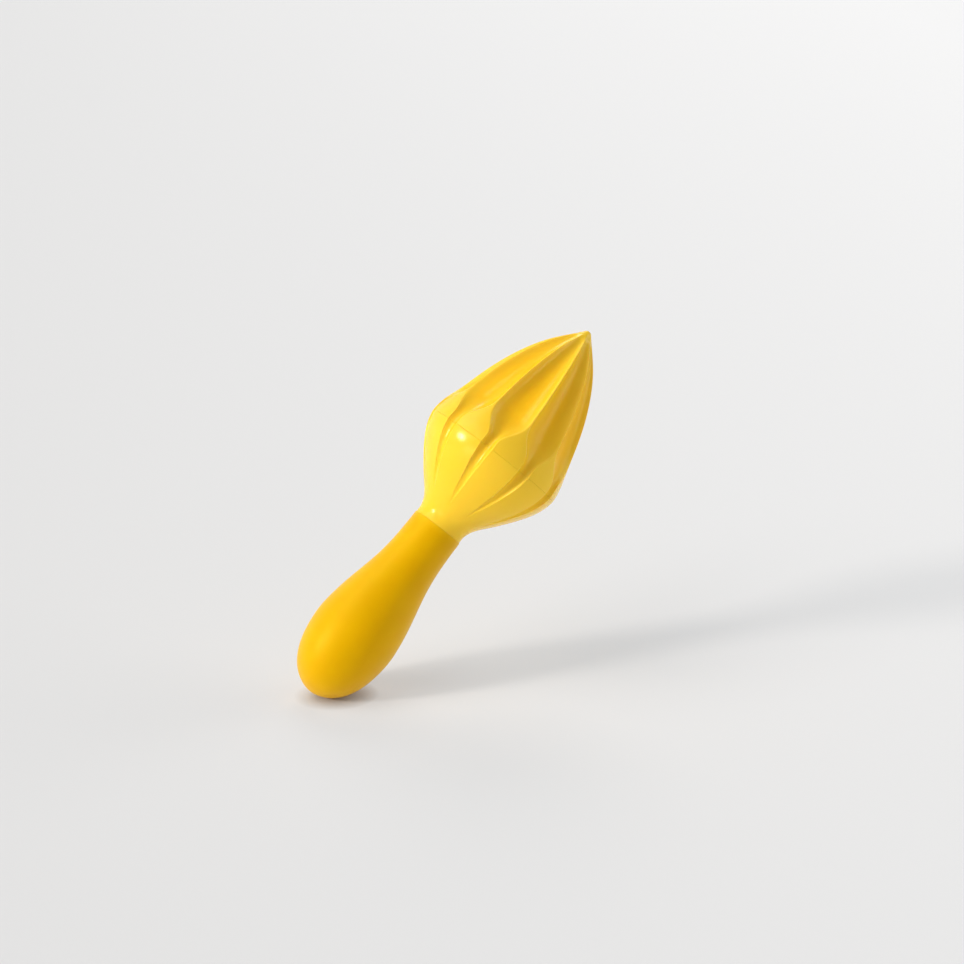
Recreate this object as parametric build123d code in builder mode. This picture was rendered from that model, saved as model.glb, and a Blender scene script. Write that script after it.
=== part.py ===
"""Hand citrus reamer with a hollow fluted head and a soft bulb handle.

The axis is +Z. The origin is the lowest point of the rounded butt end, and the tip points up.
"""
from build123d import *
from math import asin, cos, degrees, radians, sin, tan
import os

# Driving dimensions, in millimetres and degrees.
TOTAL_LENGTH = 160.0
GRIP_LENGTH = 72.8
PARTING_HEIGHT = 104.3
HEAD_RADIUS = 26.6
NECK_RADIUS = 9.4
GRIP_NECK_RADIUS = 9.6
BULB_RADIUS = 15.65
BULB_HEIGHT = 25.3
FLUTE_COUNT = 10

# Outline of the head. Each pair holds a height share and a radius share, from the curve's low end to
# its high end. The cone's shares run from its rim to the very tip, and its curve stops at the nub.
TIP_RADIUS = 1.7
TIP_HALF_ANGLE = 39.5
RIM_DRAFT_ANGLE = 8.0
WAIST_LENGTH = 1.5
FUNNEL_OUTLINE_SHARES = ((0.115, 0.049), (0.29, 0.273), (0.53, 0.608), (0.76, 0.867), (0.90, 0.965))
CONE_OUTLINE_SHARES = ((0.06, 0.011), (0.18, 0.075), (0.44, 0.237), (0.63, 0.402), (0.82, 0.646))

# Grooves of the funnel and flutes of the cone, from the neck to the tip: height share, half width as a
# share of half the pitch, and floor radius as a share of the outer radius.
GROOVE_SHARES = (
    (0.23, 0.04, 0.998),
    (0.35, 0.10, 0.988),
    (0.49, 0.155, 0.970),
    (0.66, 0.205, 0.955),
    (0.83, 0.255, 0.940),
)
RIM_SHARES = (0.285, 0.930)
FLUTE_SHARES = (
    (0.075, 0.28, 0.920),
    (0.13, 0.40, 0.900),
    (0.20, 0.70, 0.862),
    (0.27, 1.00, 0.822),
    (0.38, 1.00, 0.800),
    (0.53, 1.00, 0.785),
    (0.69, 1.00, 0.780),
    (0.82, 1.00, 0.785),
    (0.895, 1.00, 0.810),
    (0.93, 0.95, 0.870),
    (0.955, 0.60, 0.965),
)
RIDGE_LAND = 0.3

# Walls of the two shells of the head, and the tongue that centres one in the other.
SHELL_WALL = 2.2
CAVITY_END_RADIUS = 3.0
CAVITY_STEPS = 8
TONGUE_LENGTH = 3.0
TONGUE_WALL = 1.0
TONGUE_GAP = 0.1

# Keyed tang under the head.
TANG_RADIUS = 5.2
TANG_BORE_RADIUS = 3.2
TANG_LENGTH = 24.0
TANG_CHAMFER = 0.8
KEY_COUNT = 4
KEY_WIDTH = 1.6
KEY_HEIGHT = 1.0
SOCKET_GAP = 0.1
SOCKET_END_GAP = 0.8

# Outline of the soft grip, in the same kind of shares.
BULB_OUTLINE_SHARES = ((0.153, 0.5575), (0.431, 0.845), (0.709, 0.962))
TAPER_OUTLINE_SHARES = (
    (0.10, 0.055),
    (0.25, 0.235),
    (0.40, 0.49),
    (0.55, 0.742),
    (0.70, 0.908),
    (0.85, 0.977),
)

# Rigid core inside the grip, with the ring grooves that anchor the soft skin.
CORE_NECK_RADIUS = 7.8
CORE_BULB_RADIUS = 11.2
CORE_BUTT_RADIUS = 7.6
CORE_BUTT_HEIGHT = 4.6
CORE_BUTT_ANGLE = 28.0
CORE_EDGE_CHAMFER = 0.8
ANCHOR_COUNT = 4
ANCHOR_FIRST_HEIGHT = 33.0
ANCHOR_PITCH = 7.0
ANCHOR_WIDTH = 2.4
ANCHOR_DEPTH = 0.8
BOND_GAP = 0.1

# Moulding bore of the core, and the plug that closes it.
BORE_RADIUS = 5.2
BORE_DRAFT_ANGLE = 1.0
WEB_WALL = 3.0
PLUG_FLANGE_RADIUS = 6.2
PLUG_FLANGE_HEIGHT = 1.6
PLUG_SKIRT_LENGTH = 5.0
PLUG_WALL = 1.4
PLUG_GAP = 0.1

WAIST_HEIGHT = GRIP_LENGTH + WAIST_LENGTH
TIP_CENTRE_HEIGHT = TOTAL_LENGTH - TIP_RADIUS
TANG_END_HEIGHT = GRIP_LENGTH - TANG_LENGTH
SOCKET_END_HEIGHT = TANG_END_HEIGHT - SOCKET_END_GAP
BORE_END_HEIGHT = SOCKET_END_HEIGHT - WEB_WALL
FLANGE_SEAT_HEIGHT = CORE_BUTT_HEIGHT + PLUG_FLANGE_HEIGHT


def between(low, high, share):
    """The value that lies a share of the way from low to high."""
    return low + (high - low) * share


def share_points(start, end, shares):
    """Outline points, in radius and height, whose shares of height and radius run from start to end."""
    return [(between(start[0], end[0], radius), between(start[1], end[1], height))
            for height, radius in shares]


def slope(angle):
    """The direction of an outline that leans an angle away from the axis."""
    return sin(radians(angle)), cos(radians(angle))


def radius_at(curve, height):
    """The radius of a rising half outline at a height."""
    low, high = 0.0, 1.0
    for _ in range(30):
        middle = (low + high) / 2
        if (curve @ middle).Y < height:
            low = middle
        else:
            high = middle
    return (curve @ low).X


# Half outlines of the head.
neck_top = (NECK_RADIUS, WAIST_HEIGHT)
rim = (HEAD_RADIUS, PARTING_HEIGHT)
tip = (0, TOTAL_LENGTH)
nub_start = (TIP_RADIUS * cos(radians(TIP_HALF_ANGLE)),
             TIP_CENTRE_HEIGHT + TIP_RADIUS * sin(radians(TIP_HALF_ANGLE)))
funnel_curve = Spline(neck_top, *share_points(neck_top, rim, FUNNEL_OUTLINE_SHARES), rim,
                      tangents=(slope(0), slope(RIM_DRAFT_ANGLE)))
cone_curve = Spline(rim, *share_points(rim, tip, CONE_OUTLINE_SHARES), nub_start,
                    tangents=(slope(0), slope(-TIP_HALF_ANGLE)))

# Half outlines of the grip.
bulb = (BULB_RADIUS, BULB_HEIGHT)
grip_top = (GRIP_NECK_RADIUS, GRIP_LENGTH)
bulb_curve = Spline((0, 0), *share_points((0, 0), bulb, BULB_OUTLINE_SHARES), bulb,
                    tangents=(slope(90), slope(0)))
taper_curve = Spline(bulb, *share_points(bulb, grip_top, TAPER_OUTLINE_SHARES), grip_top,
                     tangents=(slope(0), slope(0)))


def station(height, width_share, floor_share):
    """Height, outer radius, half width angle and floor radius of a flute at a height."""
    curve = cone_curve if height > PARTING_HEIGHT else funnel_curve
    radius = radius_at(curve, height)
    half_pitch = 180 / FLUTE_COUNT
    land_angle = degrees(asin(RIDGE_LAND / 2 / radius))
    return height, radius, min(half_pitch * width_share, half_pitch - land_angle), radius * floor_share


def core_face(gap, mode=Mode.ADD):
    """The half section of the core with its ring grooves, its sides moved outward by a gap."""
    with BuildSketch(mode=Mode.PRIVATE) as section:
        with BuildLine():
            Polyline((CORE_NECK_RADIUS + gap, GRIP_LENGTH), (0, GRIP_LENGTH), (0, CORE_BUTT_HEIGHT),
                     (CORE_BUTT_RADIUS - CORE_EDGE_CHAMFER + gap, CORE_BUTT_HEIGHT),
                     (CORE_BUTT_RADIUS + gap, CORE_BUTT_HEIGHT + CORE_EDGE_CHAMFER))
            side = Spline((CORE_BUTT_RADIUS + gap, CORE_BUTT_HEIGHT + CORE_EDGE_CHAMFER),
                          (CORE_BULB_RADIUS + gap, BULB_HEIGHT), (CORE_NECK_RADIUS + gap, GRIP_LENGTH),
                          tangents=(slope(CORE_BUTT_ANGLE), slope(0), slope(0)))
        make_face()
        for turn in range(ANCHOR_COUNT):
            height = ANCHOR_FIRST_HEIGHT + turn * ANCHOR_PITCH
            floor = radius_at(side, height) - ANCHOR_DEPTH
            with Locations((floor, height)):
                Rectangle(HEAD_RADIUS, ANCHOR_WIDTH - 2 * gap, align=(Align.MIN, Align.CENTER),
                          mode=Mode.SUBTRACT)
    add(section.sketch, mode=mode)


def bore_radius_at(height):
    """The radius of the drafted moulding bore at a height."""
    return BORE_RADIUS - (height - FLANGE_SEAT_HEIGHT) * tan(radians(BORE_DRAFT_ANGLE))


groove_stations = [station(between(WAIST_HEIGHT, PARTING_HEIGHT, height), width, floor)
                   for height, width, floor in GROOVE_SHARES]
rim_station = station(PARTING_HEIGHT, *RIM_SHARES)
flute_stations = [station(between(PARTING_HEIGHT, TOTAL_LENGTH, height), width, floor)
                  for height, width, floor in FLUTE_SHARES]


def wall_inside(stations):
    """Points one shell wall inside the line of a flute's floor."""
    floor = Spline(*[(floor_radius, height) for height, _, _, floor_radius in stations])
    points = []
    for step in range(CAVITY_STEPS + 1):
        place = floor @ (step / CAVITY_STEPS)
        way = floor % (step / CAVITY_STEPS)
        points.append((place.X - SHELL_WALL * way.Y, place.Y + SHELL_WALL * way.X))
    return points


def flute_cutter(stations):
    """One flute, lofted through the circles that meet the outer surface at both of its edges."""
    with BuildPart() as cutter:
        for height, radius, half_angle, floor_radius in stations:
            half_width = radius * sin(radians(half_angle))
            sag = radius * cos(radians(half_angle)) - floor_radius
            cut_radius = (half_width ** 2 + sag ** 2) / (2 * sag)
            with BuildSketch(Plane.XY.offset(height)):
                with Locations((floor_radius + cut_radius, 0)):
                    Circle(cut_radius)
        loft()
    return cutter.part


cone_flute = flute_cutter([rim_station, *flute_stations])
funnel_groove = flute_cutter([*groove_stations, rim_station])

# The hollow of the head follows the floors of the flutes and grooves at one wall inside them. In the
# cone it ends in a flat disc, and in the funnel at the ledge that the tongue stops above.
tongue_inner_radius = rim_station[3] - SHELL_WALL
tongue_outer_radius = tongue_inner_radius + TONGUE_WALL
ledge_height = PARTING_HEIGHT - TONGUE_LENGTH - TONGUE_GAP
cone_cavity = [point for point in wall_inside([rim_station, *flute_stations])
               if point[1] > PARTING_HEIGHT and point[0] > CAVITY_END_RADIUS]
funnel_cavity = [point for point in wall_inside([*groove_stations, rim_station])
                 if point[1] < ledge_height and point[0] < tongue_inner_radius]

with BuildPart() as head_cone:
    with BuildSketch(Plane.XZ):
        with BuildLine():
            add(cone_curve)
            CenterArc((0, TIP_CENTRE_HEIGHT), TIP_RADIUS, TIP_HALF_ANGLE, 90 - TIP_HALF_ANGLE)
            Polyline(tip, (0, cone_cavity[-1][1]), cone_cavity[-1])
            Spline((tongue_inner_radius, PARTING_HEIGHT), *cone_cavity)
            Polyline((tongue_inner_radius, PARTING_HEIGHT),
                     (tongue_inner_radius, PARTING_HEIGHT - TONGUE_LENGTH),
                     (tongue_outer_radius, PARTING_HEIGHT - TONGUE_LENGTH),
                     (tongue_outer_radius, PARTING_HEIGHT), rim)
        make_face()
    revolve(axis=Axis.Z)
    with PolarLocations(0, FLUTE_COUNT):
        add(cone_flute, mode=Mode.SUBTRACT)

with BuildPart() as head_base:
    with BuildSketch(Plane.XZ):
        with BuildLine():
            add(funnel_curve)
            Polyline(rim, (tongue_outer_radius + TONGUE_GAP, PARTING_HEIGHT),
                     (tongue_outer_radius + TONGUE_GAP, ledge_height), (tongue_inner_radius, ledge_height))
            Spline((tongue_inner_radius, ledge_height), *reversed(funnel_cavity))
            Polyline(funnel_cavity[0], (TANG_BORE_RADIUS, GRIP_LENGTH + SHELL_WALL),
                     (TANG_BORE_RADIUS, TANG_END_HEIGHT), (TANG_RADIUS - TANG_CHAMFER, TANG_END_HEIGHT),
                     (TANG_RADIUS, TANG_END_HEIGHT + TANG_CHAMFER), (TANG_RADIUS, GRIP_LENGTH),
                     (NECK_RADIUS, GRIP_LENGTH), neck_top)
        make_face()
    revolve(axis=Axis.Z)
    with PolarLocations(0, FLUTE_COUNT):
        add(funnel_groove, mode=Mode.SUBTRACT)
    with BuildSketch(Plane.XY.offset(TANG_END_HEIGHT + TANG_CHAMFER)):
        with PolarLocations((TANG_BORE_RADIUS + TANG_RADIUS + KEY_HEIGHT) / 2, KEY_COUNT):
            Rectangle(TANG_RADIUS + KEY_HEIGHT - TANG_BORE_RADIUS, KEY_WIDTH)
    extrude(amount=TANG_LENGTH - TANG_CHAMFER)

with BuildPart() as handle_core:
    with BuildSketch(Plane.XZ):
        core_face(0)
    revolve(axis=Axis.Z)
    # Socket for the tang, with a keyway for each key.
    with BuildSketch(Plane.XY.offset(SOCKET_END_HEIGHT)):
        Circle(TANG_RADIUS + SOCKET_GAP)
        with PolarLocations((TANG_RADIUS + KEY_HEIGHT + SOCKET_GAP) / 2, KEY_COUNT):
            Rectangle(TANG_RADIUS + KEY_HEIGHT + SOCKET_GAP, KEY_WIDTH + 2 * SOCKET_GAP)
    extrude(amount=GRIP_LENGTH - SOCKET_END_HEIGHT, mode=Mode.SUBTRACT)
    # Drafted moulding bore, with the seat of the plug's flange.
    with BuildSketch(Plane.XZ):
        with BuildLine():
            Polyline((0, CORE_BUTT_HEIGHT), (PLUG_FLANGE_RADIUS, CORE_BUTT_HEIGHT),
                     (PLUG_FLANGE_RADIUS, FLANGE_SEAT_HEIGHT), (BORE_RADIUS, FLANGE_SEAT_HEIGHT),
                     (bore_radius_at(BORE_END_HEIGHT), BORE_END_HEIGHT), (0, BORE_END_HEIGHT), close=True)
        make_face()
    revolve(axis=Axis.Z, mode=Mode.SUBTRACT)

with BuildPart() as butt_plug:
    skirt_radius = bore_radius_at(FLANGE_SEAT_HEIGHT + PLUG_SKIRT_LENGTH) - PLUG_GAP
    with BuildSketch(Plane.XY.offset(CORE_BUTT_HEIGHT)):
        Circle(PLUG_FLANGE_RADIUS - PLUG_GAP)
    extrude(amount=PLUG_FLANGE_HEIGHT)
    with BuildSketch(Plane.XY.offset(FLANGE_SEAT_HEIGHT)):
        Circle(skirt_radius)
        Circle(skirt_radius - PLUG_WALL, mode=Mode.SUBTRACT)
    extrude(amount=PLUG_SKIRT_LENGTH)

with BuildPart() as grip:
    with BuildSketch(Plane.XZ):
        with BuildLine():
            add(bulb_curve)
            add(taper_curve)
            Polyline(grip_top, (0, GRIP_LENGTH), (0, 0))
        make_face()
        core_face(BOND_GAP, mode=Mode.SUBTRACT)
    revolve(axis=Axis.Z)

pieces = {
    "head_cone": head_cone,
    "head_base": head_base,
    "handle_core": handle_core,
    "butt_plug": butt_plug,
    "grip": grip,
}
os.makedirs("parts", exist_ok=True)
for name, piece in pieces.items():
    piece.part.label = name
    export_step(piece.part, f"parts/{name}.step")
    print(name, "volume", round(piece.part.volume), "solids", len(piece.part.solids()))
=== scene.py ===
"""The citrus reamer as photographed: fluted head, soft grip, pale floor, soft lamps and the camera.

Shapes are worked out in millimetres in the model's own frame, where the origin is the butt end and +Z
points to the tip, and become metres when a mesh is made.
"""

import logging
import math
from dataclasses import dataclass, field
from enum import Enum

import bpy
import numpy as np
from mathutils import Matrix, Vector


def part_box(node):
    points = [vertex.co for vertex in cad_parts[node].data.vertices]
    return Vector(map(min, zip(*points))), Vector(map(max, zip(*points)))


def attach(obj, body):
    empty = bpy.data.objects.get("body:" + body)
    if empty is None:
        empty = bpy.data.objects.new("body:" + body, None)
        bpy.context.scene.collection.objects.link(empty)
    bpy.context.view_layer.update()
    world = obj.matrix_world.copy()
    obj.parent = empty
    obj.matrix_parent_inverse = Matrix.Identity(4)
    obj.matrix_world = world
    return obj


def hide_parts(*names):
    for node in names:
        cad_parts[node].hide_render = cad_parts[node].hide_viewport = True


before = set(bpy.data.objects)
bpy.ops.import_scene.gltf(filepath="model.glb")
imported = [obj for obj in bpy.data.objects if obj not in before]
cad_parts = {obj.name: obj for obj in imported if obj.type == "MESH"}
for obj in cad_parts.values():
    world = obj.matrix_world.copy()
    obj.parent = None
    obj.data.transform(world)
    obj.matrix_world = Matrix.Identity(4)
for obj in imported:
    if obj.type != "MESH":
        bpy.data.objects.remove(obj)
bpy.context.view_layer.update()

MM = 0.001
MERGE_DISTANCE = 0.001 * MM
CREASE_ANGLE = math.radians(50)
log = logging.getLogger("reamer")

Point = tuple[float, float]
Colour = tuple[float, float, float]


class Body(Enum):
    """The bodies that a piece can ride on."""

    WHOLE = "root"


class Slot(Enum):
    """Material slot names for the new pieces, which nothing reads."""

    HEAD = "head_plastic"
    GRIP = "grip_rubber"


# Smooth outlines.


def knot_slopes(gaps: np.ndarray, chords: np.ndarray, start: Point | np.ndarray,
                end: Point | np.ndarray) -> np.ndarray:
    """The slopes at the knots of a cubic curve whose bend has no jump.

    Args:
        gaps: The parameter steps between the knots.
        chords: The slope of each chord, one row for each gap.
        start: The slope at the first knot.
        end: The slope at the last knot.

    Returns:
        One row for each knot.
    """
    count = len(gaps) + 1
    system = np.eye(count)
    wanted = np.zeros((count, chords.shape[1]))
    wanted[0], wanted[-1] = start, end
    for i in range(1, count - 1):
        before, after = gaps[i - 1], gaps[i]
        system[i, i - 1:i + 2] = after, 2 * (before + after), before
        wanted[i] = 3 * (after * chords[i - 1] + before * chords[i])
    return np.linalg.solve(system, wanted)


def cubic(values: np.ndarray, slopes: np.ndarray, gaps: np.ndarray, gap: np.ndarray,
          share: np.ndarray) -> np.ndarray:
    """The values of a cubic curve at a share of the way along some of its gaps.

    Args:
        values: One row for each knot.
        slopes: One row for each knot.
        gaps: The parameter steps between the knots.
        gap: The number of the gap, for each value that is wanted.
        share: How far along its gap each value lies, from 0 to 1.

    Returns:
        One row for each value.
    """
    t = share[:, None]
    step = gaps[gap][:, None]
    low = values[gap] * (1 + 2 * t) * (1 - t) ** 2 + slopes[gap] * step * t * (1 - t) ** 2
    high = values[gap + 1] * t ** 2 * (3 - 2 * t) - slopes[gap + 1] * step * t ** 2 * (1 - t)
    return low + high


class Outline:
    """A smooth half outline through points in radius and height, with set directions at its ends."""

    steps_per_gap: int = 60

    def __init__(self, points: list[Point], start: Point, end: Point) -> None:
        """Runs the curve.

        Args:
            points: The points, in radius and height.
            start: The direction at the first point, one long.
            end: The direction at the last point, one long.
        """
        places = np.array(points, float)
        gaps = np.linalg.norm(np.diff(places, axis=0), axis=1)
        slopes = knot_slopes(gaps, np.diff(places, axis=0) / gaps[:, None], start, end)
        gap = np.repeat(np.arange(len(gaps)), self.steps_per_gap)
        share = np.tile(np.arange(self.steps_per_gap) / self.steps_per_gap, len(gaps))
        self.line = np.vstack([cubic(places, slopes, gaps, gap, share), places[-1:]])

    def radius_at(self, height: float) -> float:
        """The radius at a height, on an outline that only rises."""
        return float(np.interp(height, self.line[:, 1], self.line[:, 0]))


def walk(line: np.ndarray, step: float) -> np.ndarray:
    """Points spaced evenly along a line, with both of its ends.

    Args:
        line: The line's points, in radius and height.
        step: About how far apart the new points lie.

    Returns:
        The new points, in radius and height.
    """
    lengths = np.concatenate([[0], np.cumsum(np.linalg.norm(np.diff(line, axis=0), axis=1))])
    places = np.linspace(0, lengths[-1], max(2, round(lengths[-1] / step) + 1))
    return np.column_stack([np.interp(places, lengths, line[:, 0]), np.interp(places, lengths, line[:, 1])])


def lean(angle: float) -> Point:
    """The direction of an outline that leans an angle in degrees away from the axis."""
    return math.sin(math.radians(angle)), math.cos(math.radians(angle))


def share_points(start: Point, end: Point, shares: tuple[Point, ...]) -> list[Point]:
    """Outline points between two ends, each from its share of their height and its share of their radius."""
    return [(start[0] + (end[0] - start[0]) * radius, start[1] + (end[1] - start[1]) * height)
            for height, radius in shares]


def soft_least(one: np.ndarray, other: np.ndarray, blend: float) -> np.ndarray:
    """The lower of two surfaces, rounded where they differ by less than the blend."""
    near = np.maximum(blend - np.abs(one - other), 0)
    return np.minimum(one, other) - near ** 2 / (4 * blend)


def graded(span: float, first: float, count: int, low: float = 1.0001, high: float = 4.0,
           halvings: int = 40) -> np.ndarray:
    """Places from zero to a span whose steps grow by one ratio.

    Args:
        span: The last place.
        first: About the length of the first step.
        count: The number of steps.
        low: The least ratio that is tried.
        high: The greatest ratio that is tried.
        halvings: How often the range of ratios is halved to find the one that fits.

    Returns:
        One more place than there are steps.
    """
    if span <= first * count:
        return np.linspace(0, span, count + 1)
    for _ in range(halvings):
        ratio = (low + high) / 2
        if first * (ratio ** count - 1) / (ratio - 1) < span:
            low = ratio
        else:
            high = ratio
    powers = low ** np.arange(count + 1)
    return span * (powers - 1) / (powers[-1] - 1)


def new_object(name: str, data: bpy.types.ID) -> bpy.types.Object:
    """Makes an object, and links it to the scene.

    Args:
        name: The object's name.
        data: Its mesh, lamp or camera.

    Returns:
        The object.
    """
    thing = bpy.data.objects.new(name, data)
    bpy.context.scene.collection.objects.link(thing)
    return thing


# Shader and geometry trees.


class Value:
    """A number socket on which Python's own operators add Math nodes."""

    def __init__(self, tree: "Tree", socket: bpy.types.NodeSocket) -> None:
        """Wraps a socket of a tree."""
        self.tree = tree
        self.socket = socket

    def math(self, operation: str, *others: "Value | float", first: bool = True) -> "Value":
        """Adds one Math node.

        Args:
            operation: The node's operation.
            others: The other values.
            first: Whether this value is the first input or the second.

        Returns:
            The node's result.
        """
        values = [self, *others] if first else [others[0], self]
        node = self.tree.add("ShaderNodeMath", {"operation": operation}, dict(enumerate(values)))
        return Value(self.tree, node.outputs[0])

    def __add__(self, other: "Value | float") -> "Value":
        """This value and another, added."""
        return self.math("ADD", other)

    __radd__ = __add__

    def __sub__(self, other: "Value | float") -> "Value":
        """This value less another."""
        return self.math("SUBTRACT", other)

    def __rsub__(self, other: float) -> "Value":
        """Another value less this one."""
        return self.math("SUBTRACT", other, first=False)

    def __mul__(self, other: "Value | float") -> "Value":
        """This value times another."""
        return self.math("MULTIPLY", other)

    __rmul__ = __mul__

    def __truediv__(self, other: "Value | float") -> "Value":
        """This value divided by another."""
        return self.math("DIVIDE", other)

    def __rtruediv__(self, other: float) -> "Value":
        """Another value divided by this one."""
        return self.math("DIVIDE", other, first=False)

    def clamped(self) -> "Value":
        """This value, held between zero and one."""
        return self.math("MINIMUM", 1.0).math("MAXIMUM", 0.0)


class Tree:
    """A node tree to which nodes are added one by one."""

    def __init__(self, tree: bpy.types.NodeTree) -> None:
        """Wraps a tree and empties it."""
        self.tree = tree
        self.tree.nodes.clear()

    @staticmethod
    def find(sockets: bpy.types.bpy_prop_collection, name: str | int) -> bpy.types.NodeSocket:
        """Finds a socket.

        Args:
            sockets: The sockets to look through.
            name: The socket's number, identifier or name.

        Returns:
            The socket.
        """
        if isinstance(name, int):
            return sockets[name]
        return next((s for s in sockets if s.identifier == name), None) or sockets[name]

    def add(self, kind: str, settings: dict | None = None, inputs: dict | None = None) -> bpy.types.Node:
        """Adds a node.

        Args:
            kind: The node's type.
            settings: Its own settings, which are set first.
            inputs: A value, a socket or a Value for each of its inputs.

        Returns:
            The node.
        """
        node = self.tree.nodes.new(kind)
        for name, value in (settings or {}).items():
            setattr(node, name, value)
        for name, value in (inputs or {}).items():
            socket = self.find(node.inputs, name)
            if isinstance(value, Value):
                self.tree.links.new(value.socket, socket)
            elif isinstance(value, bpy.types.NodeSocket):
                self.tree.links.new(value, socket)
            else:
                socket.default_value = value
        return node

    def value(self, node: bpy.types.Node, output: str | int = 0) -> Value:
        """One of a node's results, ready for sums."""
        return Value(self, self.find(node.outputs, output))

    def noise(self, coordinates: bpy.types.NodeSocket, scale: float, detail: float = 2.0) -> Value:
        """Smooth noise from about 0.3 to 0.7, with its cells to the metre and its number of finer layers."""
        node = self.add("ShaderNodeTexNoise", {}, {"Vector": coordinates, "Scale": scale, "Detail": detail})
        return self.value(node, "Fac")

    def attribute(self, name: str) -> Value:
        """A number that the mesh carries at its points, or zero on a mesh without it."""
        return self.value(self.add("ShaderNodeAttribute", {"attribute_name": name}), "Fac")

    def ray_shows(self) -> Value:
        """Tells the rays that show a surface from those that only light it.

        Returns:
            One for the camera's own rays and for those that gloss or a clear piece sends on, or else zero.
        """
        path = self.add("ShaderNodeLightPath")
        return (self.value(path, "Is Camera Ray") + self.value(path, "Is Glossy Ray")
                + self.value(path, "Is Transmission Ray")).clamped()

    def blend(self, share: Value, low: Colour | bpy.types.NodeSocket,
              high: Colour | bpy.types.NodeSocket) -> bpy.types.NodeSocket:
        """A colour between two.

        Args:
            share: How far it lies towards the second.
            low: The first colour, or the socket that gives it.
            high: The second colour, or its socket.

        Returns:
            The socket of the mixed colour.
        """
        low, high = ((*colour, 1.0) if isinstance(colour, tuple) else colour for colour in (low, high))
        node = self.add("ShaderNodeMix", {"data_type": "RGBA"},
                        {"Factor_Float": share, "A_Color": low, "B_Color": high})
        return self.find(node.outputs, "Result_Color")


# Finishes.


@dataclass(frozen=True)
class MouldedPlastic:
    """A coloured moulded finish: its tones, an optional painted shade in its hollows, its gloss and its fine
    texture.
    """

    name: str
    colour: Colour
    cloud_colour: Colour
    worn_colour: Colour
    roughness: float
    roughness_spread: float
    worn_roughness: float
    texture_cells: float
    texture_height: float
    ripple_cells: float
    ripple_height: float
    specular: float
    specular_tint: Colour
    glow_depth: float
    glow_reach: Colour
    glow_weight: float
    # Painted shade: the darker, more orange colour that hollows are blended towards by their depth.
    painted_shade_colour: Colour | None = None
    cloud_scale: float = 0.25
    cloud_contrast: float = 2.5
    cloud_start: float = 0.75
    scuff_scale: float = 0.3
    scuff_base: float = 0.4

    def build(self) -> bpy.types.Material:
        """Makes the material.

        Returns:
            The material, whose wear and painted shade come from the mesh's attributes.
        """
        material = bpy.data.materials.new(self.name)
        material.use_nodes = True
        tree = Tree(material.node_tree)
        place = tree.add("ShaderNodeTexCoord").outputs["Object"]
        cloud = tree.noise(place, self.ripple_cells * self.cloud_scale, 3.0)
        grain = tree.noise(place, self.texture_cells)
        ripple = tree.noise(place, self.ripple_cells, 1.0)
        patches = tree.noise(place, self.texture_cells * self.scuff_scale)
        scuff = (tree.attribute("worn") * (self.scuff_base + patches)).clamped()
        shade = (cloud * self.cloud_contrast - self.cloud_start).clamped()
        base = tree.blend(shade, self.cloud_colour, self.colour)
        # Painted shade: hollows are blended towards a darker, more orange colour by their depth.
        if self.painted_shade_colour:
            base = tree.blend(tree.attribute("painted_shade"), base, self.painted_shade_colour)
        colour = tree.blend(scuff, base, self.worn_colour)
        roughness = (cloud * (2 * self.roughness_spread) + (self.roughness - self.roughness_spread)
                     + scuff * (self.worn_roughness - self.roughness))
        height = grain * self.texture_height + ripple * self.ripple_height
        bump = tree.add("ShaderNodeBump", {}, {"Strength": 1.0, "Distance": MM, "Height": height})
        shader = tree.add("ShaderNodeBsdfPrincipled", {"subsurface_method": "RANDOM_WALK"}, {
            "Base Color": colour,
            "Roughness": roughness,
            "Specular IOR Level": self.specular,
            "Specular Tint": (*self.specular_tint, 1.0),
            "Subsurface Weight": self.glow_weight,
            "Subsurface Radius": self.glow_reach,
            "Subsurface Scale": self.glow_depth * MM,
            "Normal": bump.outputs["Normal"],
        })
        tree.add("ShaderNodeOutputMaterial", {}, {"Surface": shader.outputs["BSDF"]})
        return material


HEAD_FINISH = MouldedPlastic(
    name="glossy_yellow_plastic",
    colour=(0.85, 0.550, 0.032),
    cloud_colour=(0.83, 0.530, 0.026),
    worn_colour=(0.88, 0.57, 0.04),
    # Painted shade: the flute valleys turn darker and more orange with depth.
    painted_shade_colour=(0.885, 0.475, 0.002),
    roughness=0.18,
    roughness_spread=0.025,
    worn_roughness=0.34,
    texture_cells=2600.0,
    texture_height=0.0012,
    ripple_cells=260.0,
    ripple_height=0.006,
    specular=0.24,
    specular_tint=(1.0, 0.92, 0.50),
    glow_depth=0.8,
    glow_reach=(1.0, 0.6, 0.2),
    glow_weight=0.5,
)
GRIP_FINISH = MouldedPlastic(
    name="soft_touch_yellow_rubber",
    colour=(0.705, 0.388, 0.001),
    cloud_colour=(0.680, 0.369, 0.001),
    worn_colour=(0.75, 0.43, 0.006),
    roughness=0.42,
    roughness_spread=0.03,
    worn_roughness=0.38,
    texture_cells=3200.0,
    texture_height=0.006,
    ripple_cells=300.0,
    ripple_height=0.006,
    specular=0.3,
    specular_tint=(1.0, 0.80, 0.06),
    glow_depth=0.8,
    glow_reach=(1.0, 0.6, 0.2),
    glow_weight=0.5,
)
CORE_FINISH = MouldedPlastic(
    name="plain_core_plastic",
    colour=(0.80, 0.78, 0.72),
    cloud_colour=(0.77, 0.75, 0.69),
    worn_colour=(0.82, 0.80, 0.74),
    roughness=0.55,
    roughness_spread=0.05,
    worn_roughness=0.6,
    texture_cells=1800.0,
    texture_height=0.004,
    ripple_cells=240.0,
    ripple_height=0.005,
    specular=0.5,
    specular_tint=(1.0, 1.0, 1.0),
    glow_depth=1.5,
    glow_reach=(1.0, 0.8, 0.6),
    glow_weight=0.1,
)


# Meshes made of rows round the axis.


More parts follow.
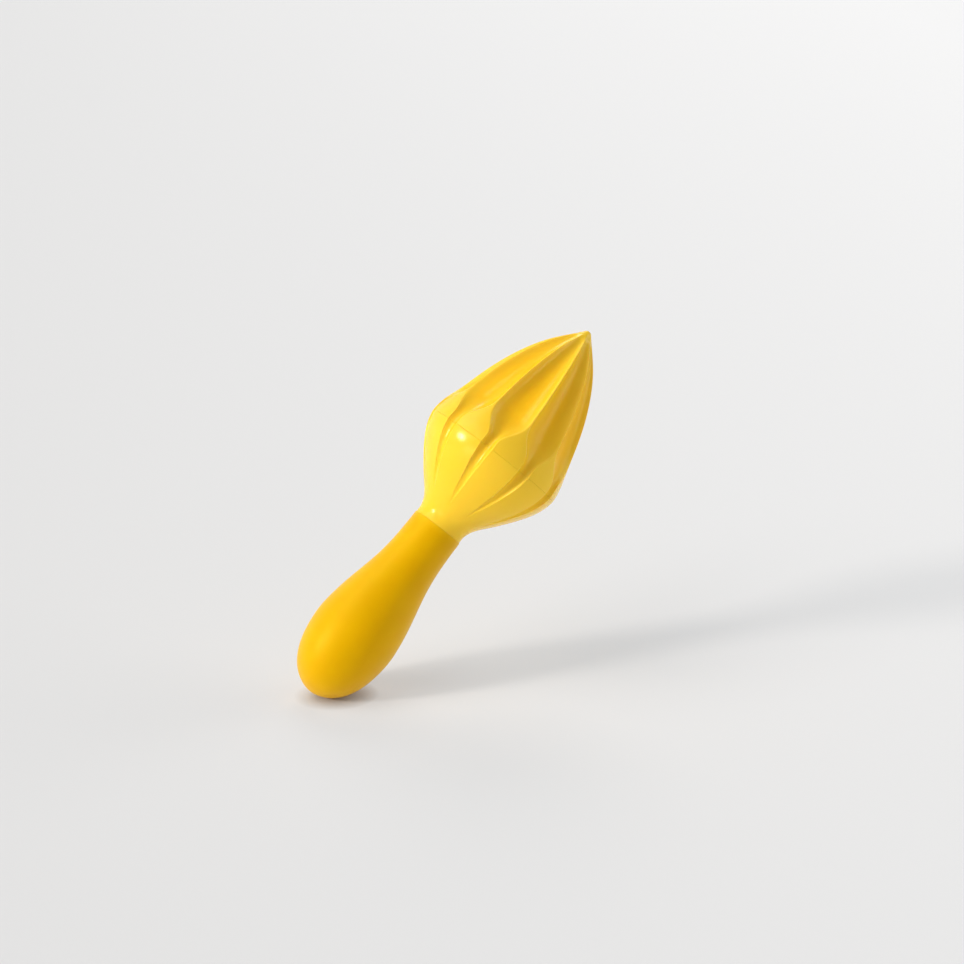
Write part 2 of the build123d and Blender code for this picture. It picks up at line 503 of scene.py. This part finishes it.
@dataclass
class Row:
    """One row of a shell: its angles, radii and heights, how worn its points are, and their share of painted
    shade, which grows with depth.
    """

    angles: np.ndarray
    radii: np.ndarray
    heights: np.ndarray
    worn: np.ndarray
    painted_shade: np.ndarray

    @classmethod
    def plain(cls, angles: np.ndarray, radius: float, height: float) -> "Row":
        """A row of one radius and one height."""
        return cls(angles, np.full_like(angles, radius), np.full_like(angles, height),
                   np.zeros_like(angles), np.zeros_like(angles))


@dataclass
class Shell:
    """A closed shell that starts and ends at a pole on the axis, or the sector of one that repeats."""

    name: str
    rows: list[Row]
    first_pole: float
    last_pole: float
    sectors: int = 1

    def build(self) -> bpy.types.Object:
        """Makes the mesh, in metres.

        Returns:
            Its object, with the wear of its points and their share of painted shade as attributes.
        """
        closed = self.sectors == 1
        width = len(self.rows[0].angles)
        angles = np.array([row.angles for row in self.rows])
        radii = np.array([row.radii for row in self.rows])
        heights = np.array([row.heights for row in self.rows])
        grid = np.stack([radii * np.cos(angles), radii * np.sin(angles), heights], axis=-1).reshape(-1, 3)
        points = np.vstack([grid, [(0, 0, self.first_pole), (0, 0, self.last_pole)]]) * MM
        pairs = [(i, (i + 1) % width) for i in range(width if closed else width - 1)]
        first, last = len(points) - 2, len(points) - 1
        faces = [(first, j, i) for i, j in pairs]
        for row in range(len(self.rows) - 1):
            low, high = row * width, (row + 1) * width
            faces += [(low + i, low + j, high + j, high + i) for i, j in pairs]
        top = (len(self.rows) - 1) * width
        faces += [(top + i, top + j, last) for i, j in pairs]
        mesh = bpy.data.meshes.new(self.name)
        mesh.from_pydata(points.tolist(), [], faces)
        # Wear, and the share of painted shade that darkens hollows.
        for name in ("worn", "painted_shade"):
            shares = np.concatenate([getattr(row, name) for row in self.rows] + [[0.0, 0.0]])
            mesh.attributes.new(name, "FLOAT", "POINT").data.foreach_set("value", shares.astype(np.float32))
        mesh.shade_smooth()
        return new_object(self.name, mesh)


class SectorRing:
    """The Geometry Nodes tree that repeats one sector round the axis and closes the seams."""

    def __init__(self) -> None:
        """Builds the tree, with its count, merging distance and material as named inputs."""
        group = bpy.data.node_groups.new("sector_ring", "GeometryNodeTree")
        tree = Tree(group)
        for name, kind in (("Sector", "NodeSocketGeometry"), ("Count", "NodeSocketInt"),
                           ("Merge distance", "NodeSocketFloat"), ("Material", "NodeSocketMaterial")):
            group.interface.new_socket(name=name, in_out="INPUT", socket_type=kind)
        group.interface.new_socket(name="Ring", in_out="OUTPUT", socket_type="NodeSocketGeometry")
        given = tree.add("NodeGroupInput").outputs
        index = tree.value(tree.add("GeometryNodeInputIndex"))
        turn = index * (2 * math.pi) * (1.0 / Value(tree, given["Count"]))
        rotation = tree.add("ShaderNodeCombineXYZ", {}, {"Z": turn})
        points = tree.add("GeometryNodePoints", {}, {"Count": given["Count"]})
        copies = tree.add("GeometryNodeInstanceOnPoints", {}, {
            "Points": points.outputs[0], "Instance": given["Sector"], "Rotation": rotation.outputs[0]})
        real = tree.add("GeometryNodeRealizeInstances", {}, {"Geometry": copies.outputs[0]})
        merged = tree.add("GeometryNodeMergeByDistance", {}, {
            "Geometry": real.outputs[0], "Distance": given["Merge distance"]})
        dressed = tree.add("GeometryNodeSetMaterial", {}, {
            "Geometry": merged.outputs[0], "Material": given["Material"]})
        tree.add("NodeGroupOutput", {}, {0: dressed.outputs[0]})
        self.group = group

    def apply(self, sector: bpy.types.Object, count: int, material: bpy.types.Material) -> bpy.types.Object:
        """Turns one sector into the whole ring.

        Args:
            sector: The sector's object, which becomes the ring.
            count: How many sectors there are.
            material: The finish.

        Returns:
            The same object, with a plain mesh.
        """
        modifier = sector.modifiers.new("ring", "NODES")
        modifier.node_group = self.group
        sizes = {"Count": count, "Merge distance": MERGE_DISTANCE, "Material": material}
        for item in self.group.interface.items_tree:
            if item.in_out == "INPUT" and item.name in sizes:
                modifier[item.identifier] = sizes[item.name]
        bpy.context.view_layer.update()
        evaluated = sector.evaluated_get(bpy.context.evaluated_depsgraph_get())
        mesh = bpy.data.meshes.new_from_object(evaluated)
        sector.modifiers.clear()
        old, sector.data = sector.data, mesh
        mesh.name = sector.name
        bpy.data.meshes.remove(old)
        return sector


def ride(piece: bpy.types.Object, node: str, slot: Slot) -> None:
    """Puts a finished piece on the body, in place of a node.

    Args:
        piece: The finished piece.
        node: The node that it stands for.
        slot: Not used.
    """
    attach(piece, Body.WHOLE.value)
    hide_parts(node)
    log.info("%s: %d faces, for %s", piece.name, len(piece.data.polygons), node)


# The fluted head.


@dataclass
class FlutedHead:
    """The fluted cone and the funnel under it, with the sizes of the solid head, in millimetres."""

    flute_count: int = 10
    neck_radius: float = 9.4
    waist_length: float = 1.5
    tip_radius: float = 1.7
    tip_half_angle: float = 39.5
    tip_last_angle: float = 88.0
    tip_rows: int = 14
    rim_draft_angle: float = 8.0
    ridge_land: float = 0.3
    tang_radius: float = 5.2
    face_shares: tuple[float, ...] = (0.3, 0.6, 0.85)
    ridge_blend: float = 1.0
    blend_to_depth: float = 2.0
    least_blend: float = 0.02
    least_sag: float = 0.002
    # Depth below the uncut surface at which the painted valley shade is full.
    full_shade_depth: float = 5.0
    wear_reach: float = 0.35
    wear_depth: float = 1.2
    rim_rounding: float = 0.22
    rim_row_shares: tuple[float, ...] = (0, 0.06, 0.2, 0.45, 0.75, 1.0, 1.6)
    fine_step: float = 0.07
    row_step: float = 0.42
    inner_columns: int = 12
    outer_columns: int = 7
    plain_edge_share: float = 0.3
    least_edge_share: float = 0.04
    most_land_share: float = 0.25
    funnel_outline_shares: tuple[Point, ...] = (
        (0.115, 0.049), (0.29, 0.273), (0.53, 0.608), (0.76, 0.867), (0.90, 0.965))
    cone_outline_shares: tuple[Point, ...] = (
        (0.06, 0.011), (0.18, 0.075), (0.44, 0.237), (0.63, 0.402), (0.82, 0.646))
    groove_shares: tuple[tuple[float, float, float], ...] = (
        (0.23, 0.04, 0.998), (0.35, 0.10, 0.988), (0.49, 0.155, 0.970), (0.66, 0.205, 0.955),
        (0.83, 0.255, 0.940))
    rim_shares: Point = (0.285, 0.930)
    flute_shares: tuple[tuple[float, float, float], ...] = (
        (0.07, 0.30, 0.921), (0.124, 0.47, 0.903), (0.179, 0.74, 0.873), (0.215, 0.87, 0.849),
        (0.255, 0.945, 0.829), (0.31, 0.985, 0.811), (0.38, 1.00, 0.799), (0.53, 1.00, 0.785),
        (0.69, 1.00, 0.780), (0.82, 1.00, 0.785), (0.895, 1.00, 0.810), (0.93, 0.95, 0.870),
        (0.955, 0.60, 0.965))
    total_length: float = field(init=False)
    parting_height: float = field(init=False)
    head_radius: float = field(init=False)
    seam_height: float = field(init=False)
    half_pitch: float = field(init=False)
    neck_top: Point = field(init=False)
    rim: Point = field(init=False)
    funnel: Outline = field(init=False)
    cone: Outline = field(init=False)
    cone_line: np.ndarray = field(init=False)

    def __post_init__(self) -> None:
        """Reads the main sizes from the solids, and runs the outlines."""
        self.total_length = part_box("head_cone")[1].z / MM
        self.parting_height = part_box("head_base")[1].z / MM
        self.head_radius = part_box("head_base")[1].y / MM
        self.seam_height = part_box("grip")[1].z / MM
        self.half_pitch = math.pi / self.flute_count
        self.neck_top = (self.neck_radius, self.seam_height + self.waist_length)
        self.rim = (self.head_radius, self.parting_height)
        centre = self.total_length - self.tip_radius
        turn = np.radians(np.linspace(self.tip_half_angle, self.tip_last_angle, self.tip_rows))
        nub = np.column_stack([self.tip_radius * np.cos(turn), centre + self.tip_radius * np.sin(turn)])
        self.funnel = Outline(
            [self.neck_top, *share_points(self.neck_top, self.rim, self.funnel_outline_shares), self.rim],
            lean(0), lean(self.rim_draft_angle))
        side = share_points(self.rim, (0, self.total_length), self.cone_outline_shares)
        self.cone = Outline([self.rim, *side, tuple(nub[0])], lean(0), lean(-self.tip_half_angle))
        self.cone_line = np.vstack([self.cone.line, nub[1:]])

    @staticmethod
    def stations(low: float, high: float, shares: tuple[tuple[float, ...], ...]) -> np.ndarray:
        """Heights and shares of the stations of one flute.

        Args:
            low: The height of share zero.
            high: The height of share one.
            shares: Height share, half width share and floor share of each station.

        Returns:
            Height, half width share and floor share of each station, one row each.
        """
        table = np.array(shares, float)
        table[:, 0] = low + (high - low) * table[:, 0]
        return table

    def circle(self, stations: np.ndarray, outer: float, height: float) -> Point | None:
        """The circle that cuts the flute in the level plane at a height.

        Args:
            stations: The flute's stations.
            outer: The radius of the uncut surface there.
            height: The height.

        Returns:
            Centre and radius of the circle, or None past the flute's ends.
        """
        if not stations[0, 0] <= height <= stations[-1, 0]:
            return None
        width_share, floor_share = self.between_stations(stations, height)
        half_width = min(self.half_pitch * width_share, self.half_pitch - self.ridge_land / 2 / outer)
        sag = outer * (math.cos(half_width) - floor_share)
        if sag < self.least_sag or half_width <= 0:
            return None
        cut = ((outer * math.sin(half_width)) ** 2 + sag ** 2) / (2 * sag)
        return outer * floor_share + cut, cut

    @staticmethod
    def between_stations(stations: np.ndarray, height: float) -> np.ndarray:
        """The half width share and the floor share at a height.

        Args:
            stations: The flute's stations.
            height: The height.

        Returns:
            The two shares.
        """
        gaps = np.diff(stations[:, 0])
        chords = np.diff(stations[:, 1:], axis=0) / gaps[:, None]
        slopes = knot_slopes(gaps, chords, chords[0], chords[-1])
        gap = int(np.clip(np.searchsorted(stations[:, 0], height, side="right") - 1, 0, len(gaps) - 1))
        share = (height - stations[gap, 0]) / gaps[gap]
        return cubic(stations[:, 1:], slopes, gaps, np.array([gap]), np.array([share]))[0]

    def column_angles(self, edge: float, radius: float) -> np.ndarray:
        """The angles of a row's points, closest together at the two edges of the flute.

        Args:
            edge: The flute's half width, as an angle.
            radius: The row's outer radius.

        Returns:
            Angles over one sector, from ridge to ridge.
        """
        inner = edge - graded(edge * radius, self.fine_step, self.inner_columns)[::-1] / radius
        outer = edge + graded((self.half_pitch - edge) * radius, self.fine_step, self.outer_columns) / radius
        half = np.concatenate([inner, outer[1:]])
        half[-1] = self.half_pitch
        return np.concatenate([-half[::-1], half[1:]])

    def cut_surface(self, angles: np.ndarray, centre: float, cut: float) -> np.ndarray:
        """How far from the axis the floor of a flute lies.

        Args:
            angles: The angles from the flute's middle.
            centre: How far the middle of the circle that cuts it lies from the axis.
            cut: The circle's radius.

        Returns:
            The floor's radius at each angle, and one past the circle's middle where an angle misses it.
        """
        reach = cut ** 2 - (centre * np.sin(angles)) ** 2
        floor = centre * np.cos(angles) - np.sqrt(np.maximum(reach, 0))
        return np.where((reach > 0) & (np.cos(angles) > 0), floor, 2 * centre)

    def row(self, outer: float, height: float, circle: Point | None) -> Row:
        """One row of the outer surface.

        Args:
            outer: The radius of the uncut surface.
            height: The row's height.
            circle: Centre and radius of the circle that cuts the flute, if one does.

        Returns:
            The row, with its ridges and edges rounded.
        """
        limit = self.half_pitch - min(self.ridge_land / 2 / outer, self.most_land_share * self.half_pitch)
        if circle is None:
            angles = self.column_angles(min(limit, self.plain_edge_share * self.half_pitch), outer)
            return Row.plain(angles, outer, height)
        centre, cut = circle
        cosine = (outer ** 2 + centre ** 2 - cut ** 2) / (2 * outer * centre)
        edge = math.acos(min(1.0, max(-1.0, cosine)))
        angles = self.column_angles(min(limit, max(edge, self.least_edge_share * self.half_pitch)), outer)
        depth = max(outer - (centre - cut), 0.0)
        blend = max(min(self.ridge_blend, self.blend_to_depth * depth), self.least_blend)
        surface = np.full_like(angles, outer)
        for middle in (-2 * self.half_pitch, 0.0, 2 * self.half_pitch):
            surface = soft_least(surface, self.cut_surface(angles - middle, centre, cut), blend)
        surface += outer - surface.max()
        away = np.abs(np.abs(angles) - min(edge, self.half_pitch)) * outer
        worn = np.exp(-(away / self.wear_reach) ** 2) * min(1.0, depth / self.wear_depth)
        # Painted shade share: grows with how deep the point lies below the uncut surface.
        painted_shade = np.clip((outer - surface) / self.full_shade_depth, 0, 1)
        return Row(angles, surface, np.full_like(angles, height), worn, painted_shade)

    def rounded(self, row: Row, from_rim: float) -> Row:
        """A row near the parting line, drawn in to round the rim.

        Args:
            row: The row.
            from_rim: How far it lies from the parting plane.

        Returns:
            The same row, changed.
        """
        short = max(self.rim_rounding - from_rim, 0)
        row.radii = row.radii - (self.rim_rounding - math.sqrt(self.rim_rounding ** 2 - short ** 2))
        return row

    def rim_distances(self) -> list[float]:
        """The distances of the closely spaced rows from the parting plane."""
        return [self.rim_rounding * share for share in self.rim_row_shares]

    def cut_rows(self, line: list[Point], stations: np.ndarray) -> list[Row]:
        """Rows at radii and heights of the uncut surface, cut by the flutes and rounded at the rim."""
        return [self.rounded(self.row(outer, height, self.circle(stations, outer, height)),
                             abs(height - self.parting_height)) for outer, height in line]

    def cone_rows(self) -> list[Row]:
        """The rows of the cone.

        Returns:
            The rows, from the parting plane to the tip.
        """
        low, high = self.parting_height, self.total_length
        stations = self.stations(low, high, ((0.0, *self.rim_shares), *self.flute_shares))
        close = [(self.cone.radius_at(low + distance), low + distance) for distance in self.rim_distances()]
        return self.cut_rows([*close, *walk(self.cone_line, self.row_step)[1:]], stations)

    def funnel_rows(self) -> list[Row]:
        """The rows of the funnel's outer side.

        Returns:
            The rows, from just above the grip's seam to the parting plane.
        """
        low, high = self.neck_top[1], self.parting_height
        stations = self.stations(low, high, (*self.groove_shares, (1.0, *self.rim_shares)))
        close = [(self.funnel.radius_at(high - distance), high - distance)
                 for distance in self.rim_distances()]
        line = [point for point in walk(self.funnel.line, self.row_step) if point[1] < close[-1][1]]
        return self.cut_rows([*line, *reversed(close)], stations)

    def round_rows(self, line: list[Point]) -> list[Row]:
        """Rows that no flute cuts, through points in radius and height."""
        angles = self.column_angles(self.plain_edge_share * self.half_pitch, self.head_radius)
        return [Row.plain(angles, radius, height) for radius, height in line]

    def build(self, ring: SectorRing, material: bpy.types.Material) -> None:
        """Makes both pieces of the head, and puts them on the body.

        Args:
            ring: The tree that repeats a sector.
            material: The head's finish.
        """
        low, high = self.parting_height, self.total_length
        face = [(self.head_radius * share, low) for share in self.face_shares]
        cone = Shell("fluted_cone", self.round_rows(face) + self.cone_rows(), low, high, self.flute_count)
        self.finish(cone, ring, material, "head_cone")
        tang_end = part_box("head_base")[0].z / MM
        tang = [(self.tang_radius, tang_end), (self.tang_radius, self.seam_height),
                (self.neck_radius, self.seam_height)]
        rows = self.round_rows(tang) + self.funnel_rows() + self.round_rows(face[::-1])
        funnel = Shell("grooved_funnel", rows, tang_end, low, self.flute_count)
        self.finish(funnel, ring, material, "head_base")

    def finish(self, shell: Shell, ring: SectorRing, material: bpy.types.Material, node: str) -> None:
        """Repeats a shell's sector round the axis, and puts it in a node's place.

        Args:
            shell: The sector.
            ring: The tree that repeats it.
            material: The finish.
            node: The node that it stands for.
        """
        piece = ring.apply(shell.build(), self.flute_count, material)
        piece.data.set_sharp_from_angle(angle=CREASE_ANGLE)
        ride(piece, node, Slot.HEAD)


# The soft grip.


@dataclass
class SoftGrip:
    """The bulb and its taper, with the sizes of the solid grip, in millimetres."""

    neck_radius: float = 9.6
    bulb_height: float = 25.3
    core_neck_radius: float = 7.8
    core_bulb_radius: float = 11.2
    core_butt_radius: float = 7.6
    core_butt_height: float = 4.6
    bond_gap: float = 0.1
    lining_lean: float = 28.0
    lip_rounding: float = 0.15
    lip_rows: int = 7
    wear_reach: float = 1.2
    columns: int = 144
    row_step: float = 0.7
    lining_row_step: float = 2.1
    bulb_outline_shares: tuple[Point, ...] = ((0.153, 0.5575), (0.431, 0.845), (0.709, 0.962))
    taper_outline_shares: tuple[Point, ...] = (
        (0.10, 0.055), (0.25, 0.235), (0.40, 0.49), (0.55, 0.742), (0.70, 0.908), (0.85, 0.977))
    length: float = field(init=False)
    bulb_radius: float = field(init=False)
    line: np.ndarray = field(init=False)

    def __post_init__(self) -> None:
        """Reads the main sizes from the solid, and runs the outline."""
        self.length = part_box("grip")[1].z / MM
        self.bulb_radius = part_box("grip")[1].x / MM
        bulb = (self.bulb_radius, self.bulb_height)
        top = (self.neck_radius, self.length)
        butt = share_points((0, 0), bulb, self.bulb_outline_shares)
        lower = Outline([(0, 0), *butt, bulb], lean(90), lean(0))
        upper = Outline([bulb, *share_points(bulb, top, self.taper_outline_shares), top], lean(0), lean(0))
        self.line = np.vstack([lower.line, upper.line[1:]])

    def build(self, material: bpy.types.Material) -> None:
        """Makes the grip as one closed skin, and puts it on the body.

        Args:
            material: The grip's finish.
        """
        angles = np.linspace(0, 2 * math.pi, self.columns, endpoint=False)
        lip = self.length - self.lip_rounding
        side = [tuple(point) for point in walk(self.line, self.row_step)[1:] if point[1] < lip]
        turn = np.linspace(0, math.pi / 2, self.lip_rows)
        edge = list(zip(self.neck_radius - self.lip_rounding * (1 - np.cos(turn)),
                        lip + self.lip_rounding * np.sin(turn)))
        core = ((self.core_butt_radius, self.core_butt_height), (self.core_bulb_radius, self.bulb_height),
                (self.core_neck_radius, self.length))
        inner = Outline([(radius + self.bond_gap, height) for radius, height in core],
                        lean(self.lining_lean), lean(0))
        lining = [tuple(point) for point in walk(inner.line, self.lining_row_step)[::-1]]
        rows = [Row.plain(angles, radius, height) for radius, height in [*side, *edge, *lining]]
        for row in rows:
            reach = math.hypot(row.radii[0] - self.neck_radius, row.heights[0] - self.length)
            row.worn += math.exp(-(reach / self.wear_reach) ** 2)
        piece = Shell("soft_grip", rows, 0.0, self.core_butt_height).build()
        piece.data.materials.append(material)
        piece.data.set_sharp_from_angle(angle=CREASE_ANGLE)
        ride(piece, "grip", Slot.GRIP)


@dataclass
class HiddenCore:
    """The two pieces inside the grip, which keep their own solids."""

    nodes: tuple[str, ...] = ("handle_core", "butt_plug")

    def build(self, material: bpy.types.Material) -> None:
        """Gives the two nodes their finish.

        Args:
            material: The finish.
        """
        for name in self.nodes:
            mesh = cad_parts[name].data
            for slot in range(len(mesh.materials)):
                mesh.materials[slot] = material
            log.info("%s: keeps its solid", name)


# The photograph's view, the floor and the lamps.


@dataclass(frozen=True)
class PhotoView:
    """Where the photograph was taken from, in pixels of its 964 by 964 frame, degrees and millimetres."""

    frame_pixels: float = 964.0
    focal_pixels: float = 3400.0
    seam_pixel: Point = (436.7, 527.3)
    pixel_size: float = 0.3510
    roll: float = 37.8
    tip_away: float = 3.3
    turn: float = -9.5
    seam_height: float = 72.48
    floor_elevation: float = 19.5
    sensor_width: float = 36.0
    clip: Point = (0.01, 50.0)

    def camera_from_model(self) -> Matrix:
        """The turn from the model's frame to the camera's.

        Returns:
            The turn, as a 3 by 3 matrix.
        """
        roll, away = math.radians(self.roll), math.radians(self.tip_away)
        axis = Vector((math.sin(roll) * math.cos(away), math.cos(roll) * math.cos(away), -math.sin(away)))
        side = Vector((math.cos(roll), -math.sin(roll), 0))
        turned = Matrix((side, axis.cross(side), axis)).transposed()
        return turned @ Matrix.Rotation(math.radians(-self.turn), 3, "Z")

    def direction(self, right: float, up: float, back: float) -> Vector:
        """A direction of the camera's frame, one long, in the model's frame."""
        return (self.camera_from_model().transposed() @ Vector((right, up, back))).normalized()

    def floor_normal(self) -> Vector:
        """The floor's upward direction, in the model's frame."""
        slope = math.radians(self.floor_elevation)
        return self.direction(0, math.cos(slope), math.sin(slope))

    def place_camera(self) -> None:
        """Makes the camera, and makes it the scene's own."""
        middle = (self.frame_pixels - 1) / 2
        right = self.seam_pixel[0] - middle
        down = self.seam_pixel[1] - middle
        seam = Vector((right, -down, -self.focal_pixels)) * self.pixel_size * MM
        turned = self.camera_from_model().transposed()
        data = bpy.data.cameras.new("photo_camera")
        data.sensor_width = self.sensor_width
        data.lens = self.sensor_width * self.focal_pixels / self.frame_pixels
        data.clip_start, data.clip_end = self.clip
        camera = new_object("photo_camera", data)
        place = Vector((0, 0, self.seam_height * MM)) - turned @ seam
        camera.matrix_world = Matrix.Translation(place) @ turned.to_4x4()
        bpy.context.scene.camera = camera


@dataclass(frozen=True)
class PaleFloor:
    """The pale floor under the bulb: where it is lit it looks as pale as written, and it keeps the shadow,
    with a painted contact shadow close to the bulb.
    """

    span: float = 5.0
    colour: Colour = (0.72, 0.72, 0.72)
    glow: Colour = (0.16, 0.16, 0.16)
    seen_colour: Colour = (0.405, 0.38, 0.355)
    dim_glow: Colour = (0.221, 0.247, 0.273)
    bright_glow: Colour = (0.481, 0.507, 0.533)
    # Painted contact shadow: how far and how finely ambient occlusion darkens the floor's glow near the bulb.
    painted_shadow_reach: float = 0.006
    painted_shadow_samples: int = 8
    # Painted light: how the floor's glow brightens towards the right and back.
    painted_light_rise: Point = (0.96, 0.25)
    painted_light_start: float = 0.38

    def build(self, view: PhotoView, grip: SoftGrip) -> None:
        """Makes the floor as a plane that touches the bulb.

        Args:
            view: The view that gives the floor its slope.
            grip: The grip that stands on it.
        """
        normal = view.floor_normal()
        side = math.hypot(normal.x, normal.y)
        radius, height = min(grip.line, key=lambda point: point[1] * normal.z - point[0] * side)
        touch = Vector((-normal.x / side * radius, -normal.y / side * radius, height)) * MM
        right = view.direction(1, 0, 0)
        back = normal.cross(right)
        corners = [touch + (right * x + back * y) * self.span / 2
                   for x, y in ((-1, -1), (1, -1), (1, 1), (-1, 1))]
        mesh = bpy.data.meshes.new("pale_floor")
        mesh.from_pydata([tuple(corner) for corner in corners], [], [(0, 1, 2, 3)])
        rise = right * self.painted_light_rise[0] + back * self.painted_light_rise[1]
        mesh.materials.append(self.finish(rise, self.painted_light_start - rise.dot(touch)))
        new_object("pale_floor", mesh)

    def finish(self, rise: Vector, start: float) -> bpy.types.Material:
        """The floor's material, which a view from below sees through.

        Args:
            rise: The way in which the floor's glow grows, as long as its share grows in a metre; this growth
                is painted light, brighter towards the right and back, that fades the far shadow.
            start: The glow's share at the model's origin.

        Returns:
            The material.
        """
        material = bpy.data.materials.new("pale_floor")
        material.use_nodes = True
        tree = Tree(material.node_tree)
        pale = tree.add("ShaderNodeBsdfDiffuse", {}, {"Color": (*self.colour, 1.0)})
        faint = tree.add("ShaderNodeEmission", {}, {"Color": (*self.glow, 1.0), "Strength": 1.0})
        matt = tree.add("ShaderNodeAddShader", {}, {0: pale.outputs[0], 1: faint.outputs[0]})
        shaded = tree.add("ShaderNodeBsdfDiffuse", {}, {"Color": (*self.seen_colour, 1.0)})
        place = tree.add("ShaderNodeTexCoord").outputs["Object"]
        product = tree.add("ShaderNodeVectorMath", {"operation": "DOT_PRODUCT"}, {0: place, 1: rise})
        share = (tree.value(product, "Value") + start).clamped()
        # Painted contact shadow: ambient occlusion darkens the camera-seen glow close to the bulb.
        painted_contact_shadow = tree.add("ShaderNodeAmbientOcclusion", {"samples": self.painted_shadow_samples}, {
            "Distance": self.painted_shadow_reach})
        # Painted light: the glow grows brighter towards the right and back.
        painted_light_glow = tree.blend(share, self.dim_glow, self.bright_glow)
        shown = tree.blend(tree.value(painted_contact_shadow, "AO"), (0.0, 0.0, 0.0), painted_light_glow)
        glow = tree.add("ShaderNodeEmission", {}, {"Color": shown, "Strength": 1.0})
        lit = tree.add("ShaderNodeAddShader", {}, {0: shaded.outputs[0], 1: glow.outputs[0]})
        front = tree.add("ShaderNodeMixShader", {}, {
            0: tree.ray_shows(), 1: matt.outputs[0], 2: lit.outputs[0]})
        behind = tree.value(tree.add("ShaderNodeNewGeometry"), "Backfacing")
        clear = tree.add("ShaderNodeBsdfTransparent")
        both = tree.add("ShaderNodeMixShader", {}, {0: behind, 1: front.outputs[0], 2: clear.outputs[0]})
        tree.add("ShaderNodeOutputMaterial", {}, {"Surface": both.outputs[0]})
        return material


@dataclass(frozen=True)
class SoftLamp:
    """A round soft lamp: its direction in the camera's frame, its distance and size in metres, its power."""

    name: str
    direction: tuple[float, float, float]
    power: float
    size: float
    distance: float = 4.0
    aim_height: float = 80.0

    def build(self, view: PhotoView) -> None:
        """Places the lamp, turned to the middle of the reamer.

        Args:
            view: The view in whose frame the lamp's direction is written.
        """
        data = bpy.data.lights.new(self.name, "AREA")
        data.shape = "DISK"
        data.size = self.size
        data.energy = self.power
        way = view.direction(*self.direction)
        place = Vector((0, 0, self.aim_height * MM)) + way * self.distance
        turned = way.to_track_quat("Z", "Y").to_matrix().to_4x4()
        new_object(self.name, data).matrix_world = Matrix.Translation(place) @ turned


@dataclass(frozen=True)
class SoftSky:
    """The even light from all round, and the pale colour that the camera sees beyond the floor."""

    light: float = 0.22
    backdrop: Colour = (0.76, 0.76, 0.76)

    def build(self) -> None:
        """Makes the world."""
        world = bpy.data.worlds.new("soft_sky")
        bpy.context.scene.world = world
        world.use_nodes = True
        tree = Tree(world.node_tree)
        light = tree.add("ShaderNodeBackground", {}, {"Color": (1.0, 1.0, 1.0, 1.0), "Strength": self.light})
        seen = tree.add("ShaderNodeBackground", {}, {"Color": (*self.backdrop, 1.0), "Strength": 1.0})
        both = tree.add("ShaderNodeMixShader", {}, {
            0: tree.ray_shows(), 1: light.outputs[0], 2: seen.outputs[0]})
        tree.add("ShaderNodeOutputWorld", {}, {"Surface": both.outputs[0]})


LAMPS = (
    SoftLamp("left_key", (-0.849, 0.235, 0.476), 100.0, 0.75),
    SoftLamp("high_left", (-0.60, 0.55, 0.58), 58.0, 3.2),
    SoftLamp("low_left", (-0.70, -0.24, 0.67), 38.0, 2.2),
    SoftLamp("top_left", (-0.48, 0.84, 0.26), 35.0, 2.2),
    SoftLamp("top_rear", (0.0, 0.85, -0.52), 48.0, 2.2),
    SoftLamp("right_rear", (0.85, 0.49, -0.17), 36.0, 2.2),
    SoftLamp("right_side", (0.97, 0.05, 0.24), 30.0, 2.2),
)


def main() -> None:
    """Builds the reamer, then the floor, the light and the camera."""
    logging.basicConfig(level=logging.INFO, format="%(message)s")
    bpy.context.scene.view_settings.view_transform = "Standard"
    view = PhotoView()
    grip = SoftGrip()
    FlutedHead().build(SectorRing(), HEAD_FINISH.build())
    grip.build(GRIP_FINISH.build())
    HiddenCore().build(CORE_FINISH.build())
    PaleFloor().build(view, grip)
    SoftSky().build()
    for lamp in LAMPS:
        lamp.build(view)
    view.place_camera()


if __name__ == "__main__":
    main()
